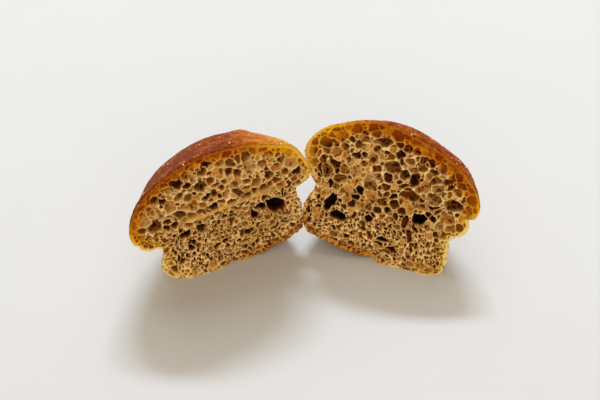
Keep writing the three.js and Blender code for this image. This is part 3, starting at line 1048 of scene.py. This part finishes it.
def store_shares(half):
    """Stores what the materials read as attributes of the mesh."""
    count = len(half["co"])
    fields = {"baked": half["baked"], "pore": np.zeros(count), "tone": np.zeros(count)}
    fields["ring"] = np.ones(count)
    fields["pore"][half["on_face"]] = half["dark"]
    fields["tone"][half["on_face"]] = half["tone"]
    fields["ring"][half["on_face"]] = half["ring_share"]
    for name, values in fields.items():
        attribute = half["mesh"].attributes.new(name, "FLOAT", "POINT")
        attribute.data.foreach_set("value", values.astype(np.float32))


for half in (LEFT, RIGHT):
    shape_mesh(half)
    store_shares(half)

# %% [markdown]
# ## A short way to build materials
# Crumb, crust and bran each have a finish of their own, and node trees are wordy in Python. This
# helper makes one node a call and returns its output, so that a material reads like a sum. Colours
# are given as screen colours of 0 to 255 and turned into the linear ones that shaders use.

# %% Node helper
SUBSURFACE_RADIUS = (1.0, 0.5, 0.22)


def srgb(r, g, b):
    """A screen colour as a linear colour."""
    parts = [c / 255 for c in (r, g, b)]
    return tuple(c / 12.92 if c <= 0.04045 else ((c + 0.055) / 1.055) ** 2.4 for c in parts) + (1.0,)


class Nodes:
    """Short calls for building a material's node tree."""

    def __init__(self, name, roughness, specular=0.5):
        self.material = bpy.data.materials.new(name)
        self.material.use_nodes = True
        self.tree = self.material.node_tree
        self.shader = self.tree.nodes["Principled BSDF"]
        self.shader.inputs["Roughness"].default_value = roughness
        self.shader.inputs["Specular IOR Level"].default_value = specular

    def link(self, source, target):
        self.tree.links.new(source, target)

    def fill(self, socket, value):
        """Links a node's output to a socket, or sets the socket to a number or a colour."""
        if isinstance(value, tuple):
            socket.default_value = srgb(*value)
        elif isinstance(value, (int, float)):
            socket.default_value = value
        else:
            self.link(value, socket)

    def attribute(self, name):
        node = self.tree.nodes.new("ShaderNodeAttribute")
        node.attribute_name = name
        return node.outputs["Fac"]

    def noise(self, size_mm, detail=3.0, rough=0.6):
        node = self.tree.nodes.new("ShaderNodeTexNoise")
        node.inputs["Scale"].default_value = 1 / MM / size_mm
        node.inputs["Detail"].default_value = detail
        node.inputs["Roughness"].default_value = rough
        place = self.tree.nodes.new("ShaderNodeTexCoord")
        self.link(place.outputs["Object"], node.inputs["Vector"])
        return node.outputs["Fac"]

    def math(self, kind, a, b=0.0, clamp=False):
        node = self.tree.nodes.new("ShaderNodeMath")
        node.operation = kind
        node.use_clamp = clamp
        self.fill(node.inputs[0], a)
        self.fill(node.inputs[1], b)
        return node.outputs[0]

    def span(self, value, low, high, to_low=0.0, to_high=1.0):
        """The value with a soft step from one number to another."""
        node = self.tree.nodes.new("ShaderNodeMapRange")
        node.interpolation_type = "SMOOTHSTEP"
        for socket, number in zip(list(node.inputs)[1:5], (low, high, to_low, to_high)):
            socket.default_value = number
        self.link(value, node.inputs["Value"])
        return node.outputs["Result"]

    def ramp(self, value, stops):
        node = self.tree.nodes.new("ShaderNodeValToRGB")
        elements = node.color_ramp.elements
        while len(elements) < len(stops):
            elements.new(0.5)
        for element, (position, colour) in zip(elements, stops):
            element.position = position
            element.color = srgb(*colour)
        self.link(value, node.inputs["Fac"])
        return node.outputs["Color"]

    def mix(self, factor, a, b, kind="MIX"):
        node = self.tree.nodes.new("ShaderNodeMix")
        node.data_type = "RGBA"
        node.blend_type = kind
        for socket, value in ((node.inputs["Factor"], factor), (node.inputs[6], a), (node.inputs[7], b)):
            self.fill(socket, value)
        return node.outputs[2]

    def bump(self, height, distance_mm, strength):
        node = self.tree.nodes.new("ShaderNodeBump")
        node.inputs["Strength"].default_value = strength
        node.inputs["Distance"].default_value = distance_mm * MM
        self.link(height, node.inputs["Height"])
        self.link(node.outputs["Normal"], self.shader.inputs["Normal"])

    def soft_inside(self, weight, scale_mm):
        """Lets a little light travel under the surface."""
        self.shader.inputs["Subsurface Weight"].default_value = weight
        self.shader.inputs["Subsurface Radius"].default_value = SUBSURFACE_RADIUS
        self.shader.inputs["Subsurface Scale"].default_value = scale_mm * MM

    def finished(self, colour):
        """The material with that colour."""
        self.link(colour, self.shader.inputs["Base Color"])
        print("material:", self.material.name)
        return self.material


print("a screen grey of 128 is", round(srgb(128, 128, 128)[0], 3), "in linear light")

# %% [markdown]
# ## The crumb's material
# The crumb is bright tan on its walls. The brown on the floors of its cells and the near black in
# the holes are painted shade: light alone wouldn't make the holes dark enough, because they are
# shallower than real ones, so the colour follows the stored shade, and each cell is a little warmer
# or cooler than the next. Towards the outline the crumb turns into the amber of the cut crust.
# There the cells stay visible as darker amber, which is painted shade too, the very edge is baked
# darkest, and beside the pale foot the rim is nearly cream, partly a painted glow where light
# shines through the thin edge.

# %% Crumb material
# The crumb runs from the cream of its walls through painted shade to nearly black holes.
CRUMB_STOPS = [(0.0, (248, 223, 168)), (0.14, (214, 171, 101)), (0.38, (150, 102, 42)),
               (0.66, (80, 40, 7)), (1.0, (26, 11, 4))]
TINT_STOPS = [(0.0, (255, 248, 226)), (0.5, (255, 255, 255)), (1.0, (232, 236, 255))]
AMBER_STOPS = [(0.0, (238, 194, 84)), (0.25, (247, 200, 22)), (0.6, (243, 174, 34)), (1.0, (242, 164, 38))]
# Painted shade in the cells of the amber ring.
AMBER_CELL_STOPS = [(0.0, (158, 104, 24)), (0.35, (168, 94, 7)), (0.9, (138, 61, 4))]
# Cream rim beside the pale foot: unbaked crust, partly a painted glow of light through the thin edge.
PALE_RIM_AND_GLOW = (254, 231, 140)
BAKED_EDGE = (112, 40, 0)
GRAIN_DARK = (140, 92, 44)
GRAIN_PALE = (236, 208, 150)
GRAIN_SHARE = 0.25
STREAK_SHARE = 0.3
EDGE_SHARE = 0.6
# How strongly the painted shade darkens the cells of the ring.
CELL_GAIN = 2.0


def ring_colour(n, pore, ring, bake):
    """The amber of the cut crust, with painted shade in its cells; its pale rim is partly painted glow."""
    pale = n.math("MULTIPLY", n.span(ring, 0.55, 1.0), n.span(bake, 0.02, 0.14, 0.9, 0.0))
    amber = n.mix(pale, n.ramp(bake, AMBER_STOPS), PALE_RIM_AND_GLOW)
    streak = n.span(n.noise(1.3, 4.0, 0.75), 0.4, 0.6)
    edge = n.math("MULTIPLY", n.span(ring, 0.86, 1.0), bake)
    streak, edge = n.math("MULTIPLY", streak, STREAK_SHARE), n.math("MULTIPLY", edge, EDGE_SHARE)
    deep = n.math("MULTIPLY", n.math("ADD", streak, edge, True), bake)
    amber = n.mix(deep, amber, BAKED_EDGE)
    return n.mix(n.math("MULTIPLY", pore, CELL_GAIN, True), amber, n.ramp(bake, AMBER_CELL_STOPS))


def crumb_material():
    """Crumb with painted shade in its cells, with the amber ring over it."""
    n = Nodes("bread_crumb", roughness=0.8, specular=0.08)
    pore, tone, ring, bake = (n.attribute(name) for name in ("pore", "tone", "ring", "baked"))
    tint = n.ramp(n.span(tone, -1.0, 1.0), TINT_STOPS)
    crumb = n.mix(1.0, n.ramp(pore, CRUMB_STOPS), tint, "MULTIPLY")
    share = n.math("MULTIPLY", n.span(ring, 0.04, 0.75), n.span(bake, 0.0, 0.3, 0.6, 1.0))
    colour = n.mix(share, crumb, ring_colour(n, pore, ring, bake))
    grain = n.mix(n.span(n.noise(0.8, 4.0), 0.3, 0.7), GRAIN_DARK, GRAIN_PALE)
    n.bump(n.noise(0.45), distance_mm=0.12, strength=0.5)
    n.soft_inside(0.1, scale_mm=1.0)
    return n.finished(n.mix(GRAIN_SHARE, colour, grain, "SOFT_LIGHT"))


CRUMB = crumb_material()

# %% [markdown]
# ## The crust's material
# The crust runs from pale straw to brick brown with the baking. A mottle a few millimetres wide
# shifts the baking itself, which looks more natural than shading the colour afterwards, and a
# finer one lies over it. The skin is nearly matt, and its smallest blisters are bump, because they
# are too low to show in the outline.

# %% Crust material
CRUST_STOPS = [(0.0, (216, 186, 100)), (0.25, (184, 144, 64)), (0.55, (162, 101, 29)),
               (0.85, (136, 70, 17)), (1.0, (105, 46, 10))]
MOTTLE = 0.2
SPECK_DARK = (104, 50, 26)
SPECK_PALE = (240, 190, 130)
SPECK_SHARE = 0.5


def crust_material():
    """Crust by baking, mottled."""
    n = Nodes("bread_crust", roughness=0.55, specular=0.07)
    mottle = n.span(n.noise(4.0, 5.0, 0.7), 0.3, 0.7, -MOTTLE, MOTTLE)
    level = n.math("ADD", n.attribute("baked"), mottle, True)
    speck = n.mix(n.span(n.noise(0.9), 0.35, 0.7), SPECK_DARK, SPECK_PALE)
    n.bump(n.math("ADD", n.noise(0.6, 4.0), n.noise(2.0, 2.0)), distance_mm=0.4, strength=0.9)
    n.soft_inside(0.1, scale_mm=1.2)
    return n.finished(n.mix(SPECK_SHARE, n.ramp(level, CRUST_STOPS), speck, "SOFT_LIGHT"))


CRUST = crust_material()

# %% [markdown]
# ## Standing the halves up
# All the carving happened in the frame of the cut face. Now each half leans back, slides so that
# its face passes through the corner where the halves meet, turns, and takes the CAD node's place.
# The object could be turned instead, but its patterns would slip in the export, so the mesh itself
# is moved and the object stays at the origin.

# %% Placing


def standing(half):
    """The matrix from the frame of the cut face to the shared frame."""
    side, lean, yaw = half["side"], math.radians(half["lean"]), math.radians(half["yaw"])
    corner = Vector(MEETING_POINT) + Vector((side * MEETING_GAP / 2, 0, 0))
    turn = Matrix.Rotation(-side * yaw, 4, "Z")
    slide = Matrix.Translation((0, -MEETING_HEIGHT * MM * math.tan(lean), 0))
    return Matrix.Translation(corner * MM) @ turn @ slide @ Matrix.Rotation(-lean, 4, "X")


def shade_smooth(mesh):
    """Smooth shading for the whole mesh."""
    mesh.polygons.foreach_set("use_smooth", np.ones(len(mesh.polygons), bool))


def place_half(half):
    """Stands a half up as a piece: crust all round, crumb on the cut face."""
    mesh = half["mesh"]
    mesh.transform(standing(half))
    mesh.materials.clear()
    mesh.materials.append(CRUST)
    mesh.materials.append(CRUMB)
    crumb = np.array([half["on_face"][list(p.vertices)].all() for p in mesh.polygons])
    mesh.polygons.foreach_set("material_index", crumb.astype(np.int32))
    shade_smooth(mesh)
    mesh.update()
    piece = new_object(half["name"] + "_bread", mesh)
    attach(piece, "root")
    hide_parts(half["name"])
    mesh.calc_loop_triangles()
    print(piece.name, len(mesh.loop_triangles), "triangles")


for half in (LEFT, RIGHT):
    place_half(half)

# %% [markdown]
# ## Bran flecks
# Pale flecks of bran lie baked into the crust. A particle system could scatter them, but picking
# polygons of the crust by a seeded draw gives the same flecks each time. Each is a small ball
# flattened against the skin and turned at random, and those of one half make one piece.

# %% Flecks
FLECK_COUNT = 520
FLECK_LOWEST = 18.0
FLECK_SUBDIVISIONS = 2
FLECK_LEAST = 0.18
FLECK_VARIES = 0.6
FLECK_RARITY = 4
FLECK_WIDTH = (0.45, 0.9)
FLECK_THICK = 0.14
FLECK_BROWN = (182, 112, 62)
FLECK_PALE = (232, 186, 130)


def fleck_material():
    """Bran, from brown to pale."""
    n = Nodes("bran_fleck", roughness=0.7, specular=0.1)
    return n.finished(n.mix(n.span(n.noise(1.5, 2.0), 0.35, 0.65), FLECK_BROWN, FLECK_PALE))


def fleck_matrix(skin, rng):
    """Places, turns and flattens a unit ball on that polygon of the skin."""
    length = MM * (FLECK_LEAST + FLECK_VARIES * rng.uniform() ** FLECK_RARITY)
    shape = Matrix.Diagonal((length, length * rng.uniform(*FLECK_WIDTH), FLECK_THICK * MM, 1))
    spin = Matrix.Rotation(rng.uniform(0, math.pi), 4, "Z")
    lie = skin.normal.to_track_quat("Z", "X").to_matrix().to_4x4()
    return Matrix.Translation(skin.center) @ (lie @ spin) @ shape


def lay_flecks(half, material):
    """One piece with the flecks of a half."""
    rng = np.random.default_rng(half["seed"] + 5)
    crust = [p for p in half["mesh"].polygons if p.material_index == 0 and p.center.z > FLECK_LOWEST * MM]
    bm = bmesh.new()
    for k in rng.choice(len(crust), FLECK_COUNT, replace=False):
        lie = fleck_matrix(crust[k], rng)
        bmesh.ops.create_icosphere(bm, subdivisions=FLECK_SUBDIVISIONS, radius=1, matrix=lie)
    bmesh.ops.recalc_face_normals(bm, faces=bm.faces)
    flecks = bpy.data.meshes.new(half["name"] + "_flecks")
    bm.to_mesh(flecks)
    bm.free()
    shade_smooth(flecks)
    flecks.materials.append(material)
    piece = new_object(flecks.name, flecks)
    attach(piece, "root")
    print(piece.name, FLECK_COUNT, "flecks,", len(flecks.polygons), "triangles")


FLECK = fleck_material()
for half in (LEFT, RIGHT):
    lay_flecks(half, FLECK)

# %% [markdown]
# ## The floor
# The roll stands on a plain pale floor, slightly glossy and large enough to fill any view.

# %% Floor
FLOOR_SIZE = 6.0
FLOOR_SQUARES = 8
FLOOR_PALE = (189, 190, 191)
FLOOR_PALER = (192, 193, 194)


def make_floor():
    """A level floor at the height where the roll rests."""
    bm = bmesh.new()
    bmesh.ops.create_grid(bm, x_segments=FLOOR_SQUARES, y_segments=FLOOR_SQUARES, size=FLOOR_SIZE / 2)
    mesh = bpy.data.meshes.new("floor")
    bm.to_mesh(mesh)
    bm.free()
    n = Nodes("pale_floor", roughness=0.2)
    mesh.materials.append(n.finished(n.mix(n.noise(60.0, 2.0), FLOOR_PALER, FLOOR_PALE)))
    floor = new_object("floor", mesh)


make_floor()
print("floor is", FLOOR_SIZE, "m wide")

# %% [markdown]
# ## Light
# The light comes from behind the roll and throws soft shadows towards the viewer. A sun would be
# simpler, but its shadows would be hard, so a wide window gives them. A ceiling above it lifts the
# crust, and a warm room in front fills the cut faces. The two lights behind are kept out of
# reflections, so that the floor shows no glare.

# %% Light
LIGHTS = [
    {"name": "window", "place": (0.08, 2.27, 1.97), "aim": (0, 0, 0.02), "size": (1.1, 0.16),
     "power": 101.0, "colour": (0.76, 0.87, 1.0), "glossy": False},
    {"name": "ceiling", "place": (0.0, 2.0, 2.08), "aim": (0, 0, 0.02), "size": (3.6, 1.6),
     "power": 52.0, "colour": (1.0, 1.0, 0.96), "glossy": False},
    {"name": "room", "place": (0.0, -1.5, 0.55), "aim": (0, 0, 0.03), "size": (2.0, 0.7),
     "power": 8.0, "colour": (1.0, 0.84, 0.62), "glossy": True},
]
ROOM_COLOUR = (1.0, 0.85, 0.66, 1.0)
ROOM_STRENGTH = 0.62


def area_light(name, place, aim, size, power, colour, glossy):
    """A flat light at a place, turned towards its aim."""
    light = bpy.data.lights.new(name, "AREA")
    light.shape = "RECTANGLE"
    light.size, light.size_y = size
    light.energy = power
    light.color = colour
    lamp = new_object(name, light)
    lamp.location = place
    lamp.visible_glossy = glossy
    lamp.rotation_euler = (Vector(aim) - Vector(place)).to_track_quat("-Z", "Y").to_euler()
    print("light:", name, power, "W")


for light in LIGHTS:
    area_light(**light)

world = bpy.data.worlds.new("room")
world.use_nodes = True
world.node_tree.nodes["Background"].inputs["Color"].default_value = ROOM_COLOUR
world.node_tree.nodes["Background"].inputs["Strength"].default_value = ROOM_STRENGTH
bpy.context.scene.world = world

# %% [markdown]
# ## Camera
# The camera looks down from the front, steeply enough to see both the cut faces and the domes
# behind them. The standard view transform keeps the screen colours chosen above as they are.

# %% Camera
CAMERA_PLACE = (-0.002806, -0.25495, 0.35367)
CAMERA_DOWN = 52.5
CAMERA_LENS = 54.0
CAMERA_SENSOR = 36.0

lens = bpy.data.cameras.new("camera")
lens.lens = CAMERA_LENS
lens.sensor_width = CAMERA_SENSOR
camera = new_object("camera", lens)
camera.location = CAMERA_PLACE
camera.rotation_euler = (math.radians(90 - CAMERA_DOWN), 0, 0)
bpy.context.scene.camera = camera
bpy.context.scene.view_settings.view_transform = "Standard"
print("camera looks down by", CAMERA_DOWN, "degrees")
